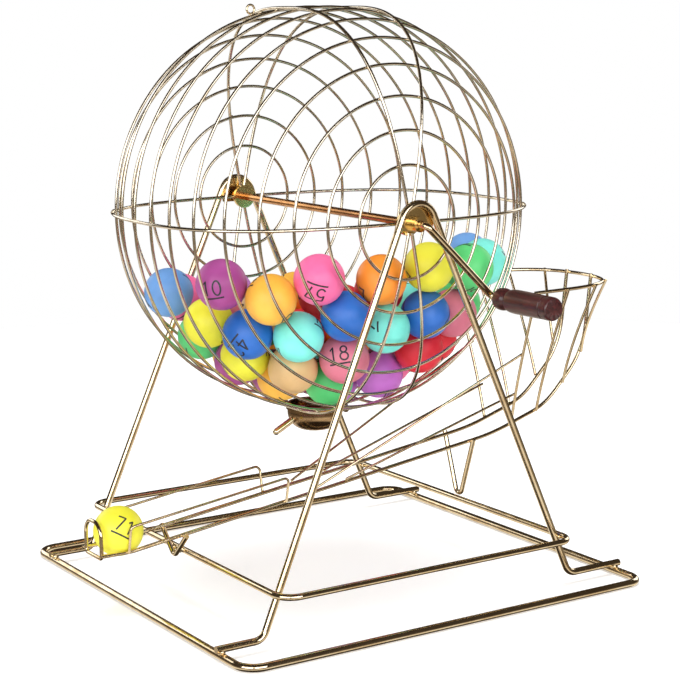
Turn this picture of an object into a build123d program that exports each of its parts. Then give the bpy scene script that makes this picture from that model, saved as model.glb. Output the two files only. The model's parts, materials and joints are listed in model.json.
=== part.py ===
from build123d import *
from math import asin, atan, atan2, cos, degrees, hypot, radians, sin, sqrt, tan
import os

# Bingo cage. Millimetres, +Z up, floor at Z = 0, origin at the middle of the base rectangle.
# X runs along the ball chute: ball stop at -X, catch basket at +X. Y runs along the axle: crank at -Y.

# ---- driving dimensions ----
BALL_D = 38.0                  # the size everything else was scaled from
BALL_WALL = 0.8

CENTRE_X = -7.0                # cage, legs and inner frame sit a little to the stop side of the base
AXLE_Z = 295.0
AXLE_D = 6.0
RUN_FIT = 0.05                 # radial running clearance
WELD = 0.15                    # how deep two welded wires sink into each other
GAP = 0.4                      # between pieces that move past each other

BASE_X, BASE_Y, BASE_R, BASE_D = 181.0, 174.5, 15.0, 6.0
FRAME_Y, FRAME_Z, FRAME_R, FRAME_D = 156.0, 41.0, 14.0, 5.0

LEG_D = 5.5
LEG_SPLAY = tan(radians(23.4))
LEG_TOP_Y, LEG_FOOT_Y = 133.0, 140.0
ARCH_R, FOOT_R = 15.0, 10.0

CAGE_R, CAGE_B, CAGE_POWER = 158.5, 122.5, 2.8   # radius, half width on the axle, squareness
HOOP_D, RING_D = 2.5, 2.3
RING_COUNT = 8                 # on each side of the middle
FIRST_RING_ARC = 42.3          # from the pole, along the cage's outline
HOOP_TILT = 11.0               # degrees each side of the vertical
HUB_R, HUB_T = 9.5, 3.0

CUP_R, CUP_WALL, CUP_TOP, CUP_H = 22.0, 2.5, 140.6, 6.5
DISH_H, DISH_R = 14.5, 14.0
CUP_X = CENTRE_X - CAGE_R * sin(radians(HOOP_TILT)) + CUP_R + HOOP_D / 2 - 0.05   # touches a hoop
PIN_D, EAR_T, KNUCKLE_W = 2.5, 2.0, 8.0
LEVER_D, LEVER_LENGTH, LEVER_DROP = 5.4, 19.5, 27.4

CRANK_D, CRANK_DROP, CRANK_RUN = 5.5, 57.5, 60.0
CRANK_Y = 143.5
GRIP_START, GRIP_LENGTH = 151.5, 64.0

RAIL_Y, RAIL_D = 16.0, 3.0
RAIL_POINTS = [(-213, 50), (-188, 49.8), (152, 95.8), (209, 114), (250, 156), (258, 223)]  # X, Z
RAIL_BENDS = (60, 200, 60, 70)
STOP_X, STOP_TOP, STOP_BOTTOM = -213.0, 73.5, 47.0
GUARD_D, GUARD_FROM, GUARD_TO, GUARD_RISE, GUARD_LEAN = 2.0, -191.0, -53.0, 21.0, 4.5
BRACKET_D = 4.0
RIM_D = 3.0
RIM_HALF = [(260.8, 14, 220.5), (251, 39, 220.5), (226, 56, 220.5), (195, 59, 220), (165, 55, 219)]
RIB_D = 2.4
RIB_FEET = [170.0, 197.0, 226.0, 246.0]          # X on the chute rails
RIB_TOPS = [4, 3, 2, 1]                          # each rib's point of RIM_HALF
RIB_FLARE, RIB_OVER = 2.5, 2.0   # how far a rib bows inwards, and stands above the rim
SIDE_RAIL_D = 2.0
SIDE_RAILS = [(-27.0, 0.52), (4.0, 0.22)]        # X on the chute rail, height up the first rib

BALL_COUNT = 57                # in the cage; the called ball is one more
# Each row of balls: height from the cage's middle, how far in from the wires, then colours and bearings.
# A bearing of 0 faces the crank, and 90 faces the basket.
FRONT_ROWS = [
    (-45, 0, [("plum", -65), ("pink", -35), ("orange", -5), ("yellow", 20), ("green", 45), ("mint", 60),
              ("light_blue", 80)]),
    (-60, 0, [("light_blue", -105), ("amber", -50)]),
    (-80, 0, [("yellow", -80), ("royal_blue", -60), ("mint", -40), ("royal_blue", -20), ("mint", 0),
              ("royal_blue", 20), ("rose", 40), ("green", 70)]),
    (-105, 0, [("green", -115), ("yellow", -75), ("rose", -20), ("red", 30), ("red", 60)]),
    (-115, 0, [("plum", -105), ("tan", -50)]),
    (-125, 0, [("amber", -75), ("green", -25), ("lilac", 30), ("pink", 70)]),
    (-60, BALL_D, [("red", -30), ("red", 15)]),
]
BACK_COLOURS = ["red", "light_blue", "green", "amber", "plum", "mint", "yellow", "royal_blue",
                "orange", "pink", "lilac", "tan", "rose"]

SIDES = {"near": -1, "far": 1}
os.makedirs("parts", exist_ok=True)


# ---- helpers ----
def save(name, *solids):
    """Write one node; several solids stay separate inside it."""
    flat = [s for shape in solids for s in shape.solids()]
    shape = flat[0] if len(flat) == 1 else Compound(children=flat)
    shape.label = name
    export_step(shape, f"parts/{name}.step")


def wire(path, diameter):
    """A round wire along a path."""
    return sweep(Plane(origin=path @ 0, z_dir=path % 0) * Circle(diameter / 2), path=path)


def bent(points, radius, diameter, close=False):
    """A round wire with straight runs and bends."""
    return wire(FilletPolyline(*points, radius=radius, close=close), diameter)


def along_y(radius, start, length, x=CENTRE_X, z=AXLE_Z):
    """A cylinder on the axle's direction, from Y = start towards +Y."""
    return Pos(x, start, z) * Rot(-90, 0, 0) * Cylinder(
        radius, length, align=(Align.CENTER, Align.CENTER, Align.MIN))


def rail_path(y):
    return FilletPolyline(*[(x, y, z) for x, z in RAIL_POINTS], radius=RAIL_BENDS)


rail_middle = rail_path(0)
RAIL_LINE = [rail_middle @ (i / 1000) for i in range(1001)]


def rail_z(x):
    """Height of the chute rails' centre line at X."""
    return min(RAIL_LINE, key=lambda p: abs(p.X - x)).Z


def leg_x(z):
    """Half the distance between the legs of one A-frame at height z."""
    return ARCH_R / cos(atan(LEG_SPLAY)) + (AXLE_Z - z) * LEG_SPLAY


def leg_y(z):
    return LEG_TOP_Y + (LEG_FOOT_Y - LEG_TOP_Y) * (AXLE_Z - z) / AXLE_Z


# ---- stand: base, inner frame and A-frames ----
def rectangle(x0, x1, y, z, radius, diameter):
    corners = [(x0, -y, z), (x1, -y, z), (x1, y, z), (x0, y, z)]
    return bent(corners, radius, diameter, close=True)


save("outer_base", rectangle(-BASE_X, BASE_X, BASE_Y, BASE_D / 2, BASE_R, BASE_D))

leg_slope = cos(atan(LEG_SPLAY))
frame_x = leg_x(FRAME_Z) + ((LEG_D + FRAME_D) / 2 - WELD) / leg_slope
save("inner_frame", rectangle(CENTRE_X - frame_x, CENTRE_X + frame_x, FRAME_Y, FRAME_Z, FRAME_R, FRAME_D))

foot_z = BASE_D + LEG_D / 2 - WELD
apex_z = AXLE_Z + ARCH_R / sin(atan(LEG_SPLAY))
foot_end = BASE_X + 4.5
for name, side in SIDES.items():
    hairpin = [(-foot_end, foot_z), (CENTRE_X - leg_x(foot_z), foot_z), (CENTRE_X, apex_z),
               (CENTRE_X + leg_x(foot_z), foot_z), (foot_end, foot_z)]
    save(f"{name}_a_frame",
         bent([(x, side * leg_y(z), z) for x, z in hairpin], (FOOT_R, ARCH_R, FOOT_R), LEG_D))

# ---- stand: axle bearings, a half-round plate welded behind the arch with a bush through it ----
PLATE_R, PLATE_T, PLATE_DROP = 15.4, 2.2, 4.5    # cut off level, a little below the axle
BUSH_R, BUSH_LENGTH, BUSH_IN = 5.6, 9.0, 0.8    # the bush stands inwards of the plate
plate_y = leg_y(AXLE_Z + ARCH_R) - LEG_D / 2 + 0.04     # the arch leans, so it meets the plate at its top
bush_y = plate_y - PLATE_T - BUSH_IN
for name, side in SIDES.items():
    plate = along_y(PLATE_R, plate_y - PLATE_T if side > 0 else -plate_y, PLATE_T)
    bush = along_y(BUSH_R, bush_y if side > 0 else -bush_y - BUSH_LENGTH, BUSH_LENGTH)
    bore = along_y(AXLE_D / 2 + RUN_FIT, side * plate_y - 20, 40)
    kept = Pos(CENTRE_X, 0, AXLE_Z - PLATE_DROP) * Box(
        100, 400, 60, align=(Align.CENTER, Align.CENTER, Align.MIN))
    save(f"{name}_bearing", (plate & kept) + bush - bore)

# ---- stand: chute ----
for name, side in SIDES.items():
    save(f"{name}_chute_rail", wire(rail_path(side * RAIL_Y), RAIL_D))

stop_y = RAIL_Y - RAIL_D + WELD
stop = [(STOP_X, -stop_y, STOP_BOTTOM), (STOP_X, stop_y, STOP_BOTTOM),
        (STOP_X, stop_y, STOP_TOP), (STOP_X, -stop_y, STOP_TOP)]
save("end_stop", Pos(RAIL_D / 2 + 0.5, 0, 0) * wire(
    FilletPolyline(*stop, radius=(3, 3, 11, 11), close=True), RAIL_D))

guard_y = RAIL_Y + (RAIL_D + GUARD_D) / 2 - WELD
for name, side in SIDES.items():
    lean_y = side * (guard_y + GUARD_LEAN)
    start, end = rail_z(GUARD_FROM), rail_z(GUARD_TO)
    save(f"{name}_side_guard", bent(
        [(GUARD_FROM, side * guard_y, start), (GUARD_FROM, lean_y, start + GUARD_RISE),
         (GUARD_TO, lean_y, end + GUARD_RISE), (GUARD_TO, side * guard_y, end)], 4, GUARD_D))


def bracket(x):
    """A V of wire: its foot on the side of the inner frame, its arms passing outside both rails."""
    foot, reach = FRAME_Z - 6, (RAIL_D + BRACKET_D) / 2 - 0.05
    rise, span = rail_z(x) - foot, hypot(RAIL_Y, rail_z(x) - foot)
    angle = atan2(rise, RAIL_Y) - asin(reach / span)
    arm = sqrt(span ** 2 - reach ** 2) + 3
    y, z = arm * cos(angle), foot + arm * sin(angle)
    return bent([(x, -y, z), (x, 0, foot), (x, y, z)], 4.5, BRACKET_D)


bracket_reach = frame_x + (FRAME_D + BRACKET_D) / 2 - WELD
save("stop_end_bracket", bracket(CENTRE_X - bracket_reach))
save("basket_end_bracket", bracket(CENTRE_X + bracket_reach))

# ---- stand: basket rim, ribs and side rails ----
rim_line = Spline([(x, -y, z) for x, y, z in reversed(RIM_HALF)] + RIM_HALF)
save("basket_rim", wire(rim_line, RIM_D))

rib_foot_y = RAIL_Y + (RAIL_D + RIB_D) / 2 - WELD
rib_out = (RIM_D + RIB_D) / 2 - WELD / 2
for name, side in SIDES.items():
    ribs = []
    for foot_x, top in zip(RIB_FEET, RIB_TOPS):
        x, y, z = RIM_HALF[top]
        foot, on_rim = Vector(foot_x, side * rib_foot_y, rail_z(foot_x)), Vector(x, side * y, z)
        chord = (on_rim - foot).normalized()
        out = rim_line.tangent_at(on_rim).cross(chord).normalized()
        bow = out * (4 * RIB_FLARE / (on_rim - foot).length)
        head = on_rim + out * rib_out + (chord + bow).normalized() * RIB_OVER
        rib = Spline([foot, head], tangents=[chord - bow, chord + bow])
        ribs.append(wire(rib, RIB_D))
        if top == RIB_TOPS[0]:
            first_rib, inwards = rib, -out * ((RIB_D + SIDE_RAIL_D) / 2 - WELD / 2)
    save(f"{name}_basket_ribs", *ribs)

    rails = []
    for start_x, height in SIDE_RAILS:
        end = first_rib @ height + inwards
        start = (start_x, side * (RAIL_Y + 1), rail_z(start_x) + (RAIL_D + SIDE_RAIL_D) / 2 - WELD)
        over = (end - Vector(start)).normalized() * RIB_D
        rails.append(wire(Line(start, end + over), SIDE_RAIL_D))
    save(f"{name}_side_rails", *rails)


# ---- cage outline: a squared ellipse turned about the axle ----
def outline(turn):
    """Radius and distance along the axle, for a turn of 0 at the pole and 90 at the middle."""
    c, s = abs(cos(radians(turn))), sin(radians(turn))
    k = (c ** CAGE_POWER + s ** CAGE_POWER) ** (-1 / CAGE_POWER)
    return CAGE_R * s * k, CAGE_B * c * k


STEPS = 900
POINTS = [outline(90 * i / STEPS) for i in range(STEPS + 1)]
ARCS = [0.0]
for (r0, y0), (r1, y1) in zip(POINTS, POINTS[1:]):
    ARCS.append(ARCS[-1] + hypot(r1 - r0, y1 - y0))


def station(arc):
    """The outline's point at an arc length from the pole."""
    return POINTS[min(range(STEPS + 1), key=lambda i: abs(ARCS[i] - arc))]


def inside(point, depth):
    """A point moved inwards, square to the outline."""
    r, y = point
    nr = (r / CAGE_R) ** (CAGE_POWER - 1) / CAGE_R
    ny = (y / CAGE_B) ** (CAGE_POWER - 1) / CAGE_B
    return r - depth * nr / hypot(nr, ny), y - depth * ny / hypot(nr, ny)


ring_pitch = (ARCS[-1] - FIRST_RING_ARC) / (RING_COUNT - 0.5)
stations = [station(FIRST_RING_ARC + ring_pitch * i) for i in range(RING_COUNT)]

# ---- cage: rings, the middle pair stops at the release collar ----
ring_depth = (HOOP_D + RING_D) / 2 - WELD
for number, point in enumerate(stations, 1):
    radius, y = inside(point, ring_depth)
    pair = []
    for side in SIDES.values():
        if y < CUP_R:
            chord = sqrt(CUP_R ** 2 - y ** 2) - WELD / 2
            start, end = [degrees(asin((CUP_X - CENTRE_X + x) / radius)) for x in (-chord, chord)]
            plane = Plane(origin=(CENTRE_X, side * y, AXLE_Z), x_dir=(1, 0, 0), z_dir=(0, -1, 0))
            pair.append(wire(plane * CenterArc((0, 0), radius, end - 90, 360 + start - end), RING_D))
        else:
            pair.append(Pos(CENTRE_X, side * y, AXLE_Z) * Rot(90, 0, 0) * Torus(radius, RING_D / 2))
    save(f"ring_{number}", *pair)


# ---- cage: half hoops from hub to hub ----
def half_hoop(angle):
    """One wire from the near hub to the far hub, at an angle round the axle from +X towards +Z."""
    start = (HUB_R - 2, CAGE_B)
    quarter = [start] + stations
    full = [(r, -y) for r, y in quarter] + [(CAGE_R, 0)] + [(r, y) for r, y in reversed(quarter)]
    c, s = cos(radians(angle)), sin(radians(angle))
    return wire(Spline([(CENTRE_X + r * c, y, AXLE_Z + r * s) for r, y in full]), HOOP_D)


save("level_hoop", half_hoop(0), half_hoop(180))
save("stop_side_hoop", half_hoop(90 + HOOP_TILT), half_hoop(-90 - HOOP_TILT))
save("basket_side_hoop", half_hoop(90 - HOOP_TILT), half_hoop(-90 + HOOP_TILT))

# ---- cage: hubs, axle, thrust washers ----
hub_y = CAGE_B - HOOP_D / 2 + WELD
for name, side in SIDES.items():
    start = hub_y - HUB_T if side > 0 else -hub_y
    save(f"{name}_hub", along_y(HUB_R, start, HUB_T) - along_y(AXLE_D / 2, start - 1, HUB_T + 2))
    washer_y, washer_t = CAGE_B + HOOP_D / 2 + 0.4, 2.0
    start = washer_y if side > 0 else -washer_y - washer_t
    save(f"{name}_thrust_washer",
         along_y(AXLE_D / 2 + 2.2, start, washer_t) - along_y(AXLE_D / 2, start - 1, washer_t + 2))

axle_far = LEG_TOP_Y + 7.5
axle_near = CRANK_Y - 8
save("axle", along_y(AXLE_D / 2, -axle_near, axle_near + axle_far))

# ---- crank: bent rod with its spindle, stop collar and press-on retainer ----
spindle_x, spindle_z = CENTRE_X + CRANK_RUN, AXLE_Z - CRANK_DROP
spindle_end = GRIP_START + GRIP_LENGTH - 9
save("crank", bent([(CENTRE_X, -axle_near, AXLE_Z), (CENTRE_X, -CRANK_Y, AXLE_Z),
                    (spindle_x, -CRANK_Y, spindle_z), (spindle_x, -spindle_end, spindle_z)],
                   5, CRANK_D))


def on_spindle(radius, start, length):
    return along_y(radius, -start - length, length, spindle_x, spindle_z)


collar_t, retainer_t = 1.6, 1.5
collar_start = GRIP_START - GAP - collar_t
save("spindle_collar", on_spindle(4.5, collar_start, collar_t)
     - on_spindle(CRANK_D / 2, collar_start - 1, collar_t + 2))
retainer_start = spindle_end - 3.5
save("grip_retainer", on_spindle(4.6, retainer_start, retainer_t)
     - on_spindle(CRANK_D / 2, retainer_start - 1, retainer_t + 2))

# ---- grip: turned wood, bead, groove and barrel, blind at the outer end ----
grip_outline = [(0, 0), (6.2, 0), (7.7, 2.5), (8.0, 6), (7.5, 10), (5.6, 12), (5.5, 14.5),
                (7.4, 16.5), (8.6, 25), (8.9, 40), (8.8, 56), (8.2, 56.4), (8.2, 62.8),
                (7.4, GRIP_LENGTH), (0, GRIP_LENGTH)]                       # radius, along the grip
bore_r = CRANK_D / 2 + 0.08
grip_face = Plane.XY * make_face(Polyline(*grip_outline, close=True))
grip = Pos(spindle_x, -GRIP_START, spindle_z) * Rot(180, 0, 0) * revolve(grip_face, Axis.Y)
pocket_start = retainer_start - GAP
grip -= on_spindle(bore_r, GRIP_START - 1, pocket_start - GRIP_START + 2)
grip -= on_spindle(5.2, pocket_start, spindle_end + 1 - pocket_start)
save("grip", grip)

# ---- release collar under the cage, with ears for the gate's hinge ----
hinge_x, hinge_z = CUP_X + CUP_R + 4.0, CUP_TOP - CUP_H - 1.2
upright = (Align.CENTER, Align.CENTER, Align.MAX)
collar = Pos(CUP_X, 0, CUP_TOP) * (Cylinder(CUP_R, CUP_H, align=upright)
                                      - Cylinder(CUP_R - CUP_WALL, CUP_H, align=upright))
lip = Pos(CUP_X, 0, CUP_TOP - 3) * (Cylinder(CUP_R + 1.2, 1.6, align=upright)
                                       - Cylinder(CUP_R - 1, 1.6, align=upright))
collar += lip
for side in SIDES.values():
    ear = Pos(CUP_X + CUP_R - 1.0, 0, CUP_TOP - CUP_H + GAP) * Box(
        6.5, EAR_T, CUP_H - 3.5, align=(Align.MIN, Align.CENTER, Align.MIN))
    ear += Pos(hinge_x, 0, hinge_z) * Rot(90, 0, 0) * Cylinder(3.0, EAR_T)
    collar += Pos(0, side * (KNUCKLE_W + EAR_T) / 2, 0) * ear
save("release_collar", collar - Pos(hinge_x, 0, hinge_z) * Rot(90, 0, 0) * Cylinder(PIN_D / 2, 40))
save("gate_hinge_pin", Pos(hinge_x, 0, hinge_z) * Rot(90, 0, 0) * Cylinder(
    PIN_D / 2, KNUCKLE_W + 2 * EAR_T + 1.6))

# ---- release gate: dish that closes the collar, and its lever ----
dish_top = CUP_TOP - CUP_H - GAP


def bowl(inset):
    """The filled shape of the dish, smaller by an inset at its side and bottom."""
    drum = Pos(CUP_X, 0, dish_top) * Cylinder(CUP_R - inset, DISH_H - inset, align=upright)
    return fillet(drum.faces().sort_by(Axis.Z)[0].edges(), DISH_R - inset)


dish = bowl(0) - bowl(2)
knuckle_w = KNUCKLE_W - 2 * GAP
knuckle = Pos(hinge_x, 0, hinge_z) * Rot(90, 0, 0) * Cylinder(2.6, knuckle_w)
tongue = Pos(CUP_X + CUP_R - 1, 0, hinge_z - 1.4) * Box(
    hinge_x - CUP_X - CUP_R + 1, knuckle_w, 2.0, align=(Align.MIN, Align.CENTER, Align.CENTER))
bore = Pos(hinge_x, 0, hinge_z) * Rot(90, 0, 0) * Cylinder(PIN_D / 2 + RUN_FIT, 40)
save("release_dish", dish + tongue + knuckle - bore)

lever_z = dish_top - 3.8
tip = (-LEVER_LENGTH * cos(radians(LEVER_DROP)), -LEVER_LENGTH * sin(radians(LEVER_DROP)))
lever = Plane(origin=(CUP_X - CUP_R + 3, 0, lever_z), z_dir=(tip[0], 0, tip[1])) * (
    Cylinder(LEVER_D / 2, LEVER_LENGTH, align=(Align.CENTER, Align.CENTER, Align.MIN))
    + Pos(0, 0, LEVER_LENGTH) * Sphere(LEVER_D / 2))
save("release_lever", lever - bowl(0.01))

# ---- cage: seam clips on the level hoop, and the eyelet on top ----
clip_arc = FIRST_RING_ARC + ring_pitch * 4.5
CLIP_R, CLIP_L = 2.2, 6.5
clips = []
for side in (-1, 1):                       # far side at the stop end, near side at the basket end
    start, centre, end = [Vector(CENTRE_X + side * r, -side * y, AXLE_Z)
                          for r, y in map(station, (clip_arc - 4, clip_arc, clip_arc + 4))]
    clips.append(Plane(origin=centre, z_dir=end - start)
                 * (Cylinder(CLIP_R, CLIP_L) - Cylinder(HOOP_D / 2 + 0.1, CLIP_L + 2)))
save("seam_clips", *clips)

EYE_R, EYE_D, EYE_AT = 3.4, 1.7, 14.0                  # degrees past the top, beside the hoop
eye_ring_r, eye_y = inside(stations[6], ring_depth)
eye_r = eye_ring_r + RING_D / 2 + EYE_R + EYE_D / 2 - WELD / 3
save("top_eyelet", Pos(CENTRE_X - eye_r * sin(radians(EYE_AT)), eye_y, AXLE_Z + eye_r * cos(radians(EYE_AT)))
     * Rot(90, 0, 0) * Torus(EYE_R, EYE_D / 2))


# ---- balls: dropped into the cage and pushed apart until none touch ----
BALL_GAP = 0.3
wall = HOOP_D / 2 + RING_D + BALL_D / 2 + 0.6
BOWL_R, BOWL_B = CAGE_R - wall, CAGE_B - wall


def fullness(x, y, z):
    """1 where a ball touches the cage, less than 1 inside."""
    return (hypot(x, z) / BOWL_R) ** CAGE_POWER + (abs(y) / BOWL_B) ** CAGE_POWER


def against_wires(height, inset, bearing):
    """A ball's centre at one height and bearing, as far out as the cage lets it, less the inset."""
    across, along = sin(radians(bearing)), -cos(radians(bearing))
    reach, step = 0.0, 0.1
    while fullness(reach * across, reach * along, height) < 1:
        reach += step
    return [(reach - inset) * across, (reach - inset) * along, height]


def push_in(p):
    """Bring a ball centre back inside the cage's clear space."""
    r = hypot(p[0], p[2])
    f = fullness(*p)
    if f > 1:
        gr = CAGE_POWER * (r / BOWL_R) ** (CAGE_POWER - 1) / BOWL_R
        gy = CAGE_POWER * (abs(p[1]) / BOWL_B) ** (CAGE_POWER - 1) / BOWL_B
        step = (f - 1) / (gr ** 2 + gy ** 2)
        p[0] -= step * gr * p[0] / r
        p[2] -= step * gr * p[2] / r
        p[1] -= step * gy * (1 if p[1] > 0 else -1)


def separate(centres, held=0):
    """Push every close pair apart once, the first ones held still; return the smallest distance."""
    closest = want = BALL_D + BALL_GAP
    for i, a in enumerate(centres):
        for j, b in enumerate(centres[:i]):
            dx, dy, dz = a[0] - b[0], a[1] - b[1], a[2] - b[2]
            if i < held or abs(dx) > want or abs(dy) > want or abs(dz) > want:
                continue
            d = sqrt(dx * dx + dy * dy + dz * dz)
            if d < want:
                closest, push = min(closest, d), (want - d) / d
                share = 1.0 if j < held else 0.5
                for axis, step in enumerate((dx, dy, dz)):
                    a[axis] += step * push * share
                    b[axis] -= step * push * (1 - share)
        push_in(a)
    return closest


centres = [against_wires(height, inset, bearing) for height, inset, row in FRONT_ROWS for _, bearing in row]
colours = [colour for *_, row in FRONT_ROWS for colour, _ in row]
SPREAD, SETTLE = 60, 420
for step in range(SPREAD):
    separate(centres)
held = len(centres)
for i in range(BALL_COUNT - held):             # the rest start on a loose grid behind the front ones
    column, row, layer = i % 5, i // 5 % 3, i // 15
    centres.append([(column - 2) * 41 + 7 * sin(2.1 * row), row * 40 - 20 + 5 * sin(1.7 * column),
                    layer * 40 - 90])
    colours.append(BACK_COLOURS[(5 * i + layer) % len(BACK_COLOURS)])
for step in range(SETTLE):
    for c in centres[held:]:
        c[2] -= 0.9 * (1 - step / SETTLE)
    separate(centres, held)
while separate(centres) < BALL_D + BALL_GAP / 3:
    pass

hollow_ball = Sphere(BALL_D / 2) - Sphere(BALL_D / 2 - BALL_WALL)
for colour in sorted(set(colours)):
    save(f"balls_{colour}", *[Pos(x + CENTRE_X, y, z + AXLE_Z) * hollow_ball
                              for (x, y, z), c in zip(centres, colours) if c == colour])

called_x = STOP_X + RAIL_D + 0.5 + BALL_D / 2 + 0.1
called_z = rail_z(called_x) + sqrt(((BALL_D + RAIL_D) / 2 + 0.05) ** 2 - RAIL_Y ** 2)
save("called_ball", Pos(called_x, 0, called_z) * hollow_ball)

top = max(c[2] for c in centres) + AXLE_Z + BALL_D / 2
print(f"{len(centres)} balls, pile top {top:.0f}; arcs {ARCS[-1]:.1f},"
      f" pitch {ring_pitch:.1f}; frame half {frame_x:.1f}")
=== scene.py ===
import json
import math
import random

import bmesh
import bpy
from mathutils import Matrix, Vector, geometry, noise
from mathutils.bvhtree import BVHTree


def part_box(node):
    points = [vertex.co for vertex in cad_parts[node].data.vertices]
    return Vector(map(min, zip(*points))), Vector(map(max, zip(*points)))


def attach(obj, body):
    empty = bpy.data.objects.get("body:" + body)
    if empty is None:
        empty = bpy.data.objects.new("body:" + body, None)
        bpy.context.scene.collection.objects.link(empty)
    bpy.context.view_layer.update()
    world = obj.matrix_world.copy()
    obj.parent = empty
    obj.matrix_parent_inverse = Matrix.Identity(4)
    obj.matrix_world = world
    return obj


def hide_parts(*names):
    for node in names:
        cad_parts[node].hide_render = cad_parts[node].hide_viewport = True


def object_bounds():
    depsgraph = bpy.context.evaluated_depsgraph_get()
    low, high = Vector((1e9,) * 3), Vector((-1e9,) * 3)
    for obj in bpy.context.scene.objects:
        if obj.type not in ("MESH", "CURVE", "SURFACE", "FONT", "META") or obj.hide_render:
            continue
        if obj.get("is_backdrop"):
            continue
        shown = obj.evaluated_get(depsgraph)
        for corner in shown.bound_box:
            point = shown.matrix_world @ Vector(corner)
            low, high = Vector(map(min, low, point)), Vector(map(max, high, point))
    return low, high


# A wire bingo cage on its stand. The frame gives every shape; this script gives metal, wood and plastic their
# finish, and adds what is too small for the frame: weld beads, printed numbers and the turned grip.
# Metres, +Z up, the crank at -Y, the ball chute along X.

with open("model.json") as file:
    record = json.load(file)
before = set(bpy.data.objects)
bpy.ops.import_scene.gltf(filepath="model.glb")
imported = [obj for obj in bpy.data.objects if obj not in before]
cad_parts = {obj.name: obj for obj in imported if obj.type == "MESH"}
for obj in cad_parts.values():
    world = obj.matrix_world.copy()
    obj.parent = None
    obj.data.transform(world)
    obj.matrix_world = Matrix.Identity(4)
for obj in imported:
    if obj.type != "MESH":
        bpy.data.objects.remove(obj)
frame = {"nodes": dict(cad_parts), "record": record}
NODES = frame["nodes"]
BODIES = frame["record"]["behaviour"]["bodies"]
CAD_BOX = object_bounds()
MM = 0.001
random.seed(75)


# ---- shader helpers ----
class Shader:
    """A Principled material built from noise on the piece's own coordinates."""

    def __init__(self, name):
        self.material = bpy.data.materials.new(name)
        self.material.use_nodes = True
        self.tree = self.material.node_tree
        self.tree.nodes.clear()
        output = self.tree.nodes.new("ShaderNodeOutputMaterial")
        self.main = self.tree.nodes.new("ShaderNodeBsdfPrincipled")
        self.tree.links.new(self.main.outputs[0], output.inputs[0])
        self.place = self.tree.nodes.new("ShaderNodeTexCoord").outputs["Object"]

    def link(self, source, target):
        self.tree.links.new(source, target)

    def stretched(self, scale):
        """The piece's coordinates, scaled differently along each axis."""
        mapping = self.tree.nodes.new("ShaderNodeMapping")
        mapping.inputs["Scale"].default_value = scale
        self.link(self.place, mapping.inputs["Vector"])
        return mapping.outputs[0]

    def noise(self, scale, detail=4.0, rough=0.55, distortion=0.0, place=None):
        """Cloudy grey noise; a larger scale is finer."""
        node = self.tree.nodes.new("ShaderNodeTexNoise")
        node.inputs["Scale"].default_value = scale
        node.inputs["Detail"].default_value = detail
        node.inputs["Roughness"].default_value = rough
        node.inputs["Distortion"].default_value = distortion
        self.link(place or self.place, node.inputs["Vector"])
        return node.outputs["Fac"]

    def ramp(self, source, *stops):
        """Turn a value into a colour or a grey; each stop is (position, colour or grey)."""
        node = self.tree.nodes.new("ShaderNodeValToRGB")
        elements = node.color_ramp.elements
        while len(elements) < len(stops):
            elements.new(0.5)
        for element, (position, value) in zip(elements, stops):
            element.position = position
            colour = value if isinstance(value, tuple) else (value,) * 3
            element.color = (*colour, 1)
        self.link(source, node.inputs[0])
        return node.outputs[0]

    def mix(self, factor, a, b, how="MIX"):
        """Blend two colours; each value may be a number, a colour or a socket."""
        node = self.tree.nodes.new("ShaderNodeMix")
        node.data_type = "RGBA"
        node.blend_type = how
        for value, socket in ((factor, node.inputs[0]), (a, node.inputs[6]), (b, node.inputs[7])):
            if isinstance(value, (int, float)):
                socket.default_value = value
            elif isinstance(value, tuple):
                socket.default_value = (*value, 1)
            else:
                self.link(value, socket)
        return node.outputs[2]

    def bump(self, height, depth, strength=1.0, under=None):
        """Raise the surface by a value, on top of another bump if one is given; the depth is in metres."""
        node = self.tree.nodes.new("ShaderNodeBump")
        node.inputs["Distance"].default_value = depth
        node.inputs["Strength"].default_value = strength
        self.link(height, node.inputs["Height"])
        if under:
            self.link(under, node.inputs["Normal"])
        return node.outputs[0]

    def fill(self, colour=None, rough=None, normal=None, **fixed):
        """Linked colour, roughness and normal, and fixed values by socket name."""
        for source, name in ((colour, "Base Color"), (rough, "Roughness"), (normal, "Normal")):
            if source:
                self.link(source, self.main.inputs[name])
        for name, value in fixed.items():
            self.main.inputs[name.replace("_", " ").title().replace("Ior", "IOR")].default_value = value
        return self.material


def plated(name, bright, tarnish, rough=(0.07, 0.18), spread=(0.28, 0.60)):
    """Plated wire: bright, with cloudy tarnish, rubbed streaks and a slightly wavy drawn surface."""
    s = Shader(name)
    clouds = s.noise(38, 5, 0.6, 0.4)
    specks = s.noise(700, 3, 0.6)
    streaks = s.noise(1, 4, 0.5, place=s.stretched((120, 120, 500)))
    base = s.ramp(clouds, (spread[0], tarnish), (spread[1], bright))
    worn = s.ramp(specks, (0.34, 0.70), (0.46, 1.0))
    colour = s.mix(0.30, base, worn, "MULTIPLY")
    blend = s.mix(0.4, clouds, streaks)
    shine = s.ramp(blend, (0.35, rough[1]), (0.65, rough[0]))
    waves = s.bump(s.noise(260, 2, 0.5), 0.02 * MM, 0.35)
    return s.fill(colour, shine, s.bump(specks, 0.006 * MM, 0.35, waves), metallic=1.0)


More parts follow.
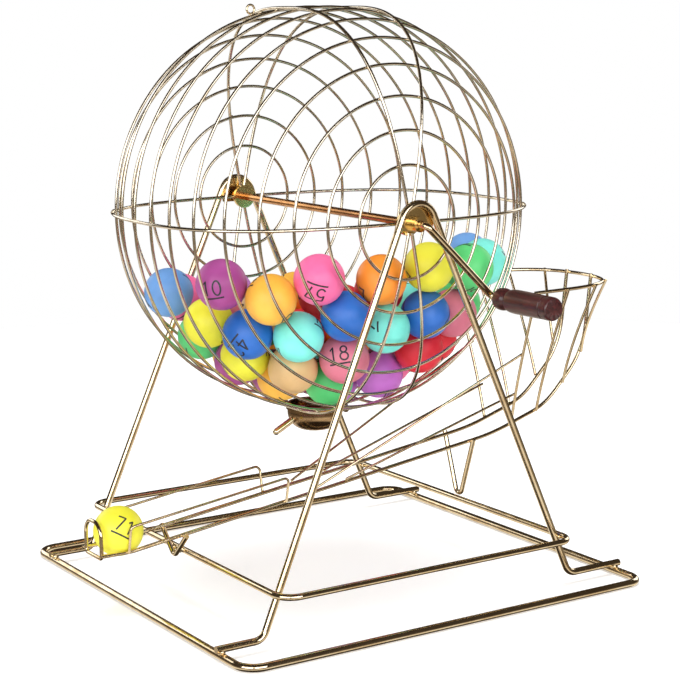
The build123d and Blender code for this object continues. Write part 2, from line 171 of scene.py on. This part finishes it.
def ball_plastic(name, colour):
    """Moulded ball: satin, a little translucent, with soft shifts of shade and a fine orange-peel skin."""
    s = Shader(name)
    light = tuple(min(1.0, c * 1.04 + 0.02) for c in colour)
    deep = tuple(c * 0.86 for c in colour)
    shade = s.ramp(s.noise(26, 3, 0.5), (0.36, deep), (0.60, light))
    scuffs = s.ramp(s.noise(160, 6, 0.65, 0.8), (0.30, 0.84), (0.44, 1.0))
    tone = s.mix(0.35, shade, scuffs, "MULTIPLY")
    gloss = s.ramp(s.noise(95, 4, 0.6), (0.35, 0.36), (0.65, 0.52))
    skin = s.bump(s.noise(1500, 2, 0.5), 0.012 * MM, 0.5)
    s.main.inputs["Subsurface Radius"].default_value = (0.006, 0.004, 0.004)
    return s.fill(tone, gloss, skin, subsurface_weight=0.15, subsurface_scale=0.8)


def varnished_wood(name):
    """Turned hardwood under dark red varnish, its grain along the grip."""
    s = Shader(name)
    bands = s.noise(1, 5, 0.6, 1.2, s.stretched((330, 42, 330)))
    pores = s.noise(1, 3, 0.7, place=s.stretched((2400, 120, 2400)))
    dark, middle, light = (0.016, 0.003, 0.004), (0.058, 0.009, 0.010), (0.105, 0.016, 0.016)
    base = s.ramp(bands, (0.30, dark), (0.52, middle), (0.74, light))
    colour = s.mix(0.6, base, s.ramp(pores, (0.36, 0.35), (0.50, 1.0)), "MULTIPLY")
    rough = s.ramp(s.noise(70, 4, 0.6), (0.35, 0.34), (0.65, 0.46))
    grain = s.bump(pores, 0.03 * MM, 0.35)
    return s.fill(colour, rough, grain, coat_weight=0.55, coat_roughness=0.22, specular_ior_level=0.5)


def printing_ink(name):
    """Black pad-printing ink, a little uneven."""
    s = Shader(name)
    tone = s.ramp(s.noise(700, 4, 0.6), (0.35, (0.012, 0.012, 0.016)), (0.7, (0.045, 0.045, 0.055)))
    rough = s.ramp(s.noise(260, 3, 0.6), (0.3, 0.42), (0.7, 0.6))
    return s.fill(tone, rough)


# ---- materials by record slot ----
BALL_COLOURS = {
    "light_blue": (0.14, 0.33, 0.70), "plum": (0.38, 0.06, 0.27), "amber": (0.97, 0.47, 0.05),
    "pink": (0.97, 0.155, 0.38), "orange": (0.97, 0.28, 0.013), "yellow": (0.85, 0.79, 0.035),
    "mint": (0.20, 0.83, 0.72), "green": (0.09, 0.62, 0.18), "royal_blue": (0.012, 0.14, 0.55),
    "lilac": (0.52, 0.13, 0.56), "tan": (0.78, 0.49, 0.22), "red": (0.76, 0.010, 0.030),
    "rose": (0.70, 0.17, 0.25),
}
PALE_GOLD, GOLD_SHADE = (0.93, 0.79, 0.55), (0.66, 0.47, 0.25)
LOOKS = {
    "brass_wire": plated("plated_wire", PALE_GOLD, GOLD_SHADE),
    "cage_wire": plated("plated_cage_wire", (0.86, 0.78, 0.64), (0.58, 0.48, 0.35), (0.08, 0.20)),
    "brass_fittings": plated("plated_fittings", (0.95, 0.72, 0.34), (0.64, 0.42, 0.16), (0.10, 0.22)),
    "copper_axle": plated("copper_axle", (0.72, 0.36, 0.13), (0.40, 0.17, 0.06), (0.10, 0.24), (0.30, 0.66)),
    "dark_bronze": plated("dark_bronze", (0.52, 0.35, 0.19), (0.24, 0.14, 0.07), (0.08, 0.22)),
    "steel_fittings": plated("steel_fittings", (0.74, 0.72, 0.68), (0.42, 0.38, 0.33), (0.15, 0.30)),
    "mahogany": varnished_wood("varnished_mahogany"),
}
for colour_name, rgb in BALL_COLOURS.items():
    LOOKS["ball_" + colour_name] = ball_plastic("ball_" + colour_name, rgb)
INK = printing_ink("ball_print")

THIN = ("ring_", "level_hoop", "stop_side_hoop", "basket_side_hoop", "seam_clips")
SLOT_OF = {part["node"]: part["material_slot"] for part in frame["record"]["subparts"]}


def look_of(node):
    """The record's slot, but the cage's thin wires are greyer and the lever matches the stand's wire."""
    if node.startswith(THIN):
        return LOOKS["cage_wire"]
    return LOOKS["brass_wire" if node == "release_lever" else SLOT_OF[node]]


CAD_CREASE, GRIP_CREASE = math.radians(40), math.radians(35)       # edges sharper than this stay sharp

for name, obj in NODES.items():
    obj.data.materials.clear()
    obj.data.materials.append(look_of(name))
    obj.data.shade_smooth()
    obj.data.set_sharp_from_angle(angle=CAD_CREASE)


# ---- small helpers for new pieces ----
def new_piece(name, mesh, body, look, slot, smooth=True):
    """An object that rides on a body and wears the given material; the slot argument is not used."""
    obj = bpy.data.objects.new(name, mesh)
    bpy.context.scene.collection.objects.link(obj)
    mesh.materials.append(look)
    if smooth:
        mesh.shade_smooth()
    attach(obj, body)
    return obj


def mesh_from(name, verts, faces):
    mesh = bpy.data.meshes.new(name)
    mesh.from_pydata([tuple(v) for v in verts], [], faces)
    mesh.validate()
    mesh.update()
    return mesh


# ---- weld beads where wires cross ----
WIRE_RADIUS = {"outer_base": 3.0, "inner_frame": 2.5, "near_a": 2.75, "far_a": 2.75, "stop_end": 2.0,
               "basket_end": 2.0, "near_chute": 1.5, "far_chute": 1.5, "basket_rim": 1.5, "end_stop": 1.5,
               "near_side_guard": 1.0, "far_side_guard": 1.0, "near_basket": 1.2, "far_basket": 1.2,
               "near_side_rails": 1.0, "far_side_rails": 1.0, "ring_": 1.15, "level": 1.25,
               "stop_side": 1.25, "basket_side": 1.25, "near_hub": 1.5, "far_hub": 1.5,
               "release_collar": 1.3, "top_eyelet": 0.85}          # millimetres
SWELL = 0.25 * MM              # how much fatter wires are while their crossings are looked for
MERGE = 4 * MM                 # cuts closer than this are one crossing
BEADS_APART = 2 * MM
BEAD_SIZE = 1.12               # a bead's radius in radii of the thinner wire


def wire_radius(node):
    return next((r * MM for start, r in WIRE_RADIUS.items() if node.startswith(start)), None)


def swollen(node):
    """A fatter copy of a node's mesh, so that wires that only touch cut into each other, and its tree."""
    mesh = NODES[node].data.copy()
    moved = [v.co + v.normal * SWELL for v in mesh.vertices]
    for v, place in zip(mesh.vertices, moved):
        v.co = place
    return mesh, BVHTree.FromPolygons(moved, [p.vertices[:] for p in mesh.polygons])


def boxes_meet(a, b):
    (alo, ahi), (blo, bhi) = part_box(a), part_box(b)
    return all(alo[i] <= bhi[i] and blo[i] <= ahi[i] for i in range(3))


def edge_hits(mesh, face, other, other_face):
    """Where the edges of one triangle pass through another triangle."""
    corners = [mesh.vertices[i].co for i in mesh.polygons[face].vertices]
    target = [other.vertices[i].co for i in other.polygons[other_face].vertices]
    for i, start in enumerate(corners):
        run = corners[(i + 1) % 3] - start
        hit = geometry.intersect_ray_tri(*target, run, start, True)
        if hit and 0 <= (hit - start).dot(run) <= run.length_squared:
            yield hit


def crossings(a, b):
    """The middles of the places where two swollen meshes cut into each other."""
    spots = []
    (ma, tree_a), (mb, tree_b) = a, b
    for i, j in tree_a.overlap(tree_b):
        for hit in (*edge_hits(ma, i, mb, j), *edge_hits(mb, j, ma, i)):
            near = next((s for s in spots if (s[0] / s[1] - hit).length < MERGE), None)
            if near:
                near[0] += hit
                near[1] += 1
            else:
                spots.append([hit.copy(), 1])
    return [total / count for total, count in spots]


def add_bead(bm, centre, radius):
    """A solder bead: a ball pulled out of round, so no two are alike."""
    made = bmesh.ops.create_icosphere(bm, subdivisions=2, radius=radius)["verts"]
    lift = centre * 900
    for v in made:
        out = v.co.normalized()
        v.co *= 1 + 0.22 * noise.noise(out * 1.3 + lift) + 0.06 * noise.noise(out * 4 + lift)
        v.co += centre


def weld(body, name, look, slot):
    """One piece with a bead at every crossing of a body's wires."""
    joined = [n for n in BODIES[body] if wire_radius(n)]
    fat = {n: swollen(n) for n in joined}
    bm = bmesh.new()
    done = []
    for i, a in enumerate(joined):
        for b in joined[:i]:
            if boxes_meet(a, b):
                radius = min(wire_radius(a), wire_radius(b)) * BEAD_SIZE
                for spot in crossings(fat[a], fat[b]):
                    if all((spot - other).length > BEADS_APART for other in done):
                        done.append(spot)
                        add_bead(bm, spot, radius)
    for copy, _ in fat.values():
        bpy.data.meshes.remove(copy)
    mesh = bpy.data.meshes.new(name)
    bm.to_mesh(mesh)
    bm.free()
    print(name, len(done), "beads")
    return new_piece(name, mesh, body, look, slot)


weld("stand", "stand_welds", LOOKS["brass_wire"], "brass_wire")
weld("cage", "cage_welds", LOOKS["cage_wire"], "brass_wire")


# ---- printed numbers ----
BALL_R = (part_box("called_ball")[1].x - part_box("called_ball")[0].x) / 2
CAGE_MIDDLE = (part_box("level_hoop")[0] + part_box("level_hoop")[1]) / 2
PILE_REACH = 110 * MM          # about how far the balls at the wires lie from the cage's upright middle line
OUTER_SKIN = 1.98              # in ball radii; a ball's outer skin is wider than this, its inner one narrower


def islands(mesh):
    """Groups of connected vertices."""
    parent = list(range(len(mesh.vertices)))

    def root(i):
        while parent[i] != i:
            parent[i] = parent[parent[i]]
            i = parent[i]
        return i

    for edge in mesh.edges:
        a, b = (root(i) for i in edge.vertices)
        parent[a] = b
    groups = {}
    for i, v in enumerate(mesh.vertices):
        groups.setdefault(root(i), []).append(v.co)
    return groups.values()


def ball_centres(node):
    """The middle of each ball in a node, from its outer skin."""
    found = []
    for points in islands(NODES[node].data):
        lo = Vector([min(p[i] for p in points) for i in range(3)])
        hi = Vector([max(p[i] for p in points) for i in range(3)])
        if (hi - lo).x > OUTER_SKIN * BALL_R:
            found.append((lo + hi) / 2)
    return sorted(found, key=lambda c: (round(c.x, 4), c.y, c.z))


def arc(cx, cy, rx, ry, start, end, steps=18):
    """Points on an ellipse, from one angle to another in degrees."""
    turns = [math.radians(start + (end - start) * i / steps) for i in range(steps + 1)]
    return [(cx + rx * math.cos(t), cy + ry * math.sin(t)) for t in turns]


# One unit tall, 0.6 wide, drawn with a pen of even width.
DIGITS = {
    "0": [arc(0.3, 0.5, 0.27, 0.5, 0, 360)],
    "1": [[(0.10, 0.78), (0.32, 1.0), (0.32, 0.0)]],
    "2": [arc(0.3, 0.72, 0.26, 0.28, 165, -38) + [(0.04, 0.0), (0.58, 0.0)]],
    "3": [arc(0.28, 0.75, 0.25, 0.25, 150, -90), arc(0.28, 0.26, 0.28, 0.26, 90, -150)],
    "4": [[(0.44, 0.0), (0.44, 1.0), (0.02, 0.30), (0.62, 0.30)]],
    "5": [[(0.54, 1.0), (0.12, 1.0), (0.07, 0.54)] + arc(0.29, 0.32, 0.28, 0.32, 135, -150)],
    "6": [arc(0.3, 0.30, 0.27, 0.30, 0, 360), [(0.46, 1.0), (0.22, 0.68), (0.05, 0.38)]],
    "7": [[(0.02, 1.0), (0.57, 1.0), (0.22, 0.0)]],
    "8": [arc(0.3, 0.77, 0.22, 0.23, 0, 360), arc(0.3, 0.27, 0.28, 0.27, 0, 360)],
    "9": [arc(0.3, 0.70, 0.27, 0.30, 0, 360), [(0.55, 0.62), (0.38, 0.32), (0.14, 0.0)]],
}
DIGIT_H, DIGIT_STEP, PEN = 10.8 * MM, 0.80, 1.3 * MM       # the step is in digit heights
UNDERLINE, UNDERLINE_OVER = -0.22, 0.08        # below the digits, and past them at each end, in digit heights
DIGIT_W, DIGIT_MIDDLE = 0.6, 0.4
PROUD, SUNK = 0.03 * MM, 0.15 * MM             # the ribbon's top and bottom, from the ball's skin
RIBBON_STEP, SAME_POINT = 0.6 * MM, 0.01 * MM


def dense(points, step):
    """The same line with points at most a step apart."""
    out = [Vector(points[0])]
    for a, b in zip(points, points[1:]):
        a, b = Vector(a), Vector(b)
        count = max(1, math.ceil((b - a).length / step))
        out += [a.lerp(b, (i + 1) / count) for i in range(count)]
    return out


def number_strokes(number):
    """Pen strokes for a number over a short underline, centred, in metres."""
    text = str(number)
    width = DIGIT_STEP * (len(text) - 1) + DIGIT_W
    strokes = []
    for i, digit in enumerate(text):
        for stroke in DIGITS[digit]:
            strokes.append([(x + i * DIGIT_STEP - width / 2, y - DIGIT_MIDDLE) for x, y in stroke])
    end, level = width / 2 + UNDERLINE_OVER, UNDERLINE - DIGIT_MIDDLE
    strokes.append([(-end, level), (end, level)])
    return [[(x * DIGIT_H, y * DIGIT_H) for x, y in stroke] for stroke in strokes]


def print_number(verts, faces, centre, number, out, up):
    """Wrap a number's strokes round a ball as flat ribbons just proud of its skin."""
    out = out.normalized()
    side = up.cross(out).normalized()
    up = out.cross(side)
    proud, sunk = BALL_R + PROUD, BALL_R - SUNK
    for stroke in number_strokes(number):
        line = dense(stroke, RIBBON_STEP)
        closed = (line[0] - line[-1]).length < SAME_POINT
        first = len(verts)
        for i, p in enumerate(line):
            before = line[i - 1] if i else (line[-2] if closed else p)
            after = line[i + 1] if i + 1 < len(line) else (line[1] if closed else p)
            run = (after - before).normalized()
            across = Vector((-run.y, run.x)) * PEN / 2
            left, right = p + across, p - across
            for q, radius in ((left, proud), (right, proud), (right, sunk), (left, sunk)):
                turn = q.length / BALL_R
                flat = (side * q.x + up * q.y).normalized()
                verts.append(centre + radius * (math.cos(turn) * out + math.sin(turn) * flat))
        last = len(verts) - 4
        for i in range(first, last, 4):
            faces += [(i + a, i + b, i + 4 + b, i + 4 + a) for a, b in ((0, 1), (1, 2), (2, 3), (3, 0))]
        faces += [(first + 3, first + 2, first + 1, first), (last, last + 1, last + 2, last + 3)]


def random_direction():
    z, turn = random.uniform(-1, 1), random.uniform(0, 2 * math.pi)
    flat = math.sqrt(1 - z * z)
    return Vector((flat * math.cos(turn), flat * math.sin(turn), z))


# Directions as seen from the near left corner: to the right, up, and out to the viewer.
RIGHT, UP, OUT = Vector((0.84, -0.543, 0.0)), Vector((0.096, 0.149, 0.984)), Vector((-0.534, -0.826, 0.178))
# Balls whose print can be read from there: node, the ball's bearing in degrees and height in millimetres from
# the cage's middle, number, print's middle right and up, turn clockwise. A bearing of 0 faces the crank, and 90
# faces the basket. The called ball is alone in its node, so its bearing and height don't matter.
READABLE = [
    ("called_ball", (0, 0), 71, (0.36, 0.24), 28),
    ("balls_plum", (-65, -45), 10, (-0.34, -0.25), -5),
    ("balls_royal_blue", (-60, -80), 42, (-0.32, -0.52), 130),
    ("balls_pink", (-35, -45), 57, (-0.15, -0.55), 196),
    ("balls_rose", (-20, -105), 18, (-0.24, 0.16), -10),
    ("balls_mint", (0, -80), 9, (-0.62, 0.05), 270),
    ("balls_light_blue", (80, -45), 62, (0.50, 0.00), 20),
]


def pile_place(bearing, height):
    """About where a ball lies against the wires."""
    turn = math.radians(bearing)
    return CAGE_MIDDLE + Vector((PILE_REACH * math.sin(turn), -PILE_REACH * math.cos(turn), height * MM))


def facing(right, up, turn):
    """Where a print faces, and which way is up on it."""
    out = RIGHT * right + UP * up + OUT * math.sqrt(1 - right * right - up * up)
    turn = math.radians(turn)
    return out, UP * math.cos(turn) + RIGHT * math.sin(turn)


def sideways():
    """A random direction across the view, for a print that shows from the side."""
    while True:
        out = random_direction()
        if abs(out.dot(OUT)) < 0.25:
            return out


def print_all():
    """A different number on every ball, printed on opposite sides, as one piece for each node."""
    free = [n for n in range(1, 76) if n not in {r[2] for r in READABLE}]
    random.shuffle(free)
    for node in sorted(n for n in NODES if n.startswith("balls_") or n == "called_ball"):
        centres = ball_centres(node)
        verts, faces = [], []
        chosen = {}
        for owner, place, number, (right, up), turn in READABLE:
            if node == owner:
                nearest = min(centres, key=lambda c: (c - pile_place(*place)).length)
                chosen[nearest.freeze()] = (number, *facing(right, up, turn))
        for centre in centres:
            number, out, up = chosen.get(centre.freeze(), (None, sideways(), random_direction()))
            number = number or free.pop()
            for turned in (out, -out):
                print_number(verts, faces, centre, number, turned, up)
        name = node + "_print"
        new_piece(name, mesh_from(name, verts, faces), "stand", INK, SLOT_OF[node], smooth=False)


print_all()


# ---- turned grip ----
def lathe(name, profile, place, steps=72):
    """A closed solid turned about an axis along -Y; the profile is (radius, distance along)."""
    verts, faces = [], []
    rings = []
    for radius, along in profile:
        if radius < 1e-6:
            rings.append([len(verts)])
            verts.append(place + Vector((0, -along, 0)))
            continue
        rings.append(list(range(len(verts), len(verts) + steps)))
        for i in range(steps):
            turn = 2 * math.pi * i / steps
            verts.append(place + Vector((radius * math.cos(turn), -along, radius * math.sin(turn))))
    for a, b in zip(rings, rings[1:]):
        for i in range(steps):
            j = (i + 1) % steps
            quad = (a[i % len(a)], a[j % len(a)], b[j % len(b)], b[i % len(b)])
            faces.append(tuple(dict.fromkeys(quad)))
    mesh = mesh_from(name, verts, faces)
    bm = bmesh.new()
    bm.from_mesh(mesh)
    bmesh.ops.recalc_face_normals(bm, faces=bm.faces)
    bm.to_mesh(mesh)
    bm.free()
    return mesh


def smooth_run(points, steps=7):
    """A Catmull-Rom curve through the points."""
    padded = [points[0], *points, points[-1]]
    out = []
    for p0, p1, p2, p3 in zip(padded, padded[1:], padded[2:], padded[3:]):
        for i in range(steps):
            t = i / steps
            out.append(tuple(0.5 * (2 * b + (c - a) * t + (2 * a - 5 * b + 4 * c - d) * t ** 2
                                    + (3 * b - a - 3 * c + d) * t ** 3)
                             for a, b, c, d in zip(p0, p1, p2, p3)))
    return out + [points[-1]]


def turned_grip():
    """The wooden handle, with a bore for the spindle and a pocket for the retainer."""
    lo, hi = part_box("grip")
    start = Vector(((lo.x + hi.x) / 2, hi.y, (lo.z + hi.z) / 2))
    full, length = (hi.x - lo.x) / 2, hi.y - lo.y
    spindle, pocket = 2.83 * MM, 5.2 * MM      # radii of the bore and of the pocket round the retainer
    pocket_in = hi.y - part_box("grip_retainer")[1].y - 0.4 * MM
    pocket_out = hi.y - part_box("crank")[0].y + 1.0 * MM
    # Outlines from the crank outwards: part of the full radius, and millimetres along.
    bead = [(0.60, 0.0), (0.80, 0.6), (0.90, 2.2), (0.94, 4.6), (0.935, 7.0), (0.88, 9.2), (0.76, 11.2),
            (0.69, 12.3), (0.69, 13.0), (0.80, 13.9), (0.92, 15.2), (0.975, 17.5), (1.0, 22.0), (1.0, 30.0),
            (0.99, 40.0), (0.98, 48.0), (0.97, 54.4)]
    tail = [(0.90, 54.9), (0.90, 55.7), (0.975, 56.2), (0.98, 59.0), (0.975, 61.8), (0.94, 63.2),
            (0.85, 63.9)]
    outer = [(r * full, y * MM) for r, y in smooth_run(bead) + smooth_run(tail, 5)]
    outer = [(r, min(y, length)) for r, y in outer]
    inside = [(0, pocket_out), (pocket, pocket_out), (pocket, pocket_in), (spindle, pocket_in), (spindle, 0)]
    mesh = lathe("turned_grip", inside + outer + [(0, length)], start)
    piece = new_piece("turned_grip", mesh, "crank_grip", LOOKS["mahogany"], "mahogany")
    mesh.set_sharp_from_angle(angle=GRIP_CREASE)
    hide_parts("grip")


turned_grip()


# ---- floor, light and camera ----
def plain(name, colour, rough, glow):
    """A nearly even, slightly glowing surface."""
    s = Shader(name)
    s.main.inputs["Emission Color"].default_value = (1, 1, 1, 1)
    tone = s.ramp(s.noise(3, 2), (0.3, tuple(c * 0.985 for c in colour)), (0.7, colour))
    return s.fill(tone, roughness=rough, emission_strength=glow)


FILL_LIGHT = 0.45
FLOOR_R, FLOOR_Z, FLOOR_GREY, FLOOR_LIGHT = 1.25, -0.0002, (0.94, 0.94, 0.94), 0.28
DIM, SOFT_GLOW, FLOOR_GLOW = (0.045, 0.034, 0.024), (0.24, 0.20, 0.15), (0.95, 0.88, 0.78)
# What metal mirrors, from straight down (0) to straight up (1): a pale floor some way off, then a dim room.
MIRRORED = ((0.13, DIM), (0.19, FLOOR_GLOW), (0.30, FLOOR_GLOW), (0.35, SOFT_GLOW), (0.44, SOFT_GLOW),
            (0.48, DIM))
# The camera: an angle clockwise from +Y, an angle up, a roll, a place, and the lens and film width in mm.
CAMERA_YAW, CAMERA_PITCH, CAMERA_ROLL = (math.radians(a) for a in (32.879, -10.220, -0.44))
CAMERA_PLACE, LENS, FILM = (-0.7852, -1.2306, 0.4524), 98.4, 36


def make_floor():
    """A round white floor, small enough to be evenly bright to its edge."""
    place = (0, 0, FLOOR_Z)
    bpy.ops.mesh.primitive_circle_add(vertices=128, radius=FLOOR_R, fill_type="NGON", location=place)
    floor = bpy.context.object
    floor.name = "floor"
    floor.visible_glossy = False
    floor.data.materials.append(plain("pale_floor", FLOOR_GREY, 0.9, FLOOR_LIGHT))
    floor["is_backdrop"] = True


def make_world():
    """White for the camera, a soft fill for the plastic, and a dim brown for the metal to mirror."""
    world = bpy.data.worlds.new("studio")
    bpy.context.scene.world = world
    world.use_nodes = True
    tree = world.node_tree
    tree.nodes.clear()
    output = tree.nodes.new("ShaderNodeOutputWorld")
    path = tree.nodes.new("ShaderNodeLightPath")

    def background(colour, strength):
        node = tree.nodes.new("ShaderNodeBackground")
        node.inputs["Color"].default_value = (*colour, 1)
        node.inputs["Strength"].default_value = strength
        return node.outputs[0]

    def choose(kind, no, yes):
        node = tree.nodes.new("ShaderNodeMixShader")
        tree.links.new(path.outputs[kind], node.inputs[0])
        tree.links.new(no, node.inputs[1])
        tree.links.new(yes, node.inputs[2])
        return node.outputs[0]

    fill = background((1.0, 0.98, 0.95), FILL_LIGHT)
    split = tree.nodes.new("ShaderNodeSeparateXYZ")
    tree.links.new(tree.nodes.new("ShaderNodeTexCoord").outputs["Generated"], split.inputs[0])
    height = tree.nodes.new("ShaderNodeMapRange")
    height.inputs["From Min"].default_value = -1
    tree.links.new(split.outputs["Z"], height.inputs["Value"])
    ramp = tree.nodes.new("ShaderNodeValToRGB")
    tree.links.new(height.outputs[0], ramp.inputs[0])
    while len(ramp.color_ramp.elements) < len(MIRRORED):
        ramp.color_ramp.elements.new(0.5)
    for element, (position, colour) in zip(ramp.color_ramp.elements, MIRRORED):
        element.position = position
        element.color = (*colour, 1)
    mirrored = background((1, 1, 1), 1.0)
    tree.links.new(ramp.outputs[0], mirrored.node.inputs["Color"])
    unseen = choose("Is Glossy Ray", fill, mirrored)
    tree.links.new(choose("Is Camera Ray", unseen, background((1, 1, 1), 1.0)), output.inputs[0])


def softbox(name, place, target, size, power, mirrored=True):
    """A panel of light that the camera doesn't see."""
    light = bpy.data.lights.new(name, "AREA")
    light.shape = "RECTANGLE"
    light.size, light.size_y = size
    light.energy = power
    obj = bpy.data.objects.new(name, light)
    obj.location = place
    obj.visible_glossy = mirrored
    obj.visible_camera = False
    obj.rotation_mode = "QUATERNION"
    obj.rotation_quaternion = (Vector(target) - Vector(place)).to_track_quat("-Z", "Y")
    bpy.context.scene.collection.objects.link(obj)


def make_camera():
    yaw, pitch, roll = CAMERA_YAW, CAMERA_PITCH, CAMERA_ROLL
    forward = Vector((math.sin(yaw) * math.cos(pitch), math.cos(yaw) * math.cos(pitch), math.sin(pitch)))
    right = forward.cross(Vector((0, 0, 1))).normalized()
    up = right.cross(forward)
    right, up = (right * math.cos(roll) + up * math.sin(roll), up * math.cos(roll) - right * math.sin(roll))
    camera = bpy.data.objects.new("camera", bpy.data.cameras.new("camera"))
    camera.data.lens, camera.data.sensor_width = LENS, FILM
    turned = Matrix((right, up, -forward)).transposed().to_4x4()
    camera.matrix_world = Matrix.Translation(CAMERA_PLACE) @ turned
    camera.data.clip_start, camera.data.clip_end = 0.05, 60
    bpy.context.scene.collection.objects.link(camera)
    bpy.context.scene.camera = camera


make_floor()
make_world()
MIDDLE = (0, 0, 0.24)
PANEL_AWAY, PANEL_Z = 2.3, 0.85
for side, turn, wide, power in (("left", -60, 2.1, 28), ("right", -6, 2.1, 27), ("far_right", 105, 1.3, 9),
                                ("back", -165, 1.6, 10)):
    aim = math.radians(turn)                  # clockwise from -Y, seen from above
    place = (PANEL_AWAY * math.sin(aim), -PANEL_AWAY * math.cos(aim), PANEL_Z)
    softbox(side + "_panel", place, MIDDLE, (wide, 1.2), power)
softbox("overhead", (0, 0, 2.2), MIDDLE, (1.0, 1.0), 22, mirrored=False)
make_camera()
bpy.context.scene.view_settings.view_transform = "Standard"

[[list(corner) for corner in box] for box in (CAD_BOX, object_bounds())]
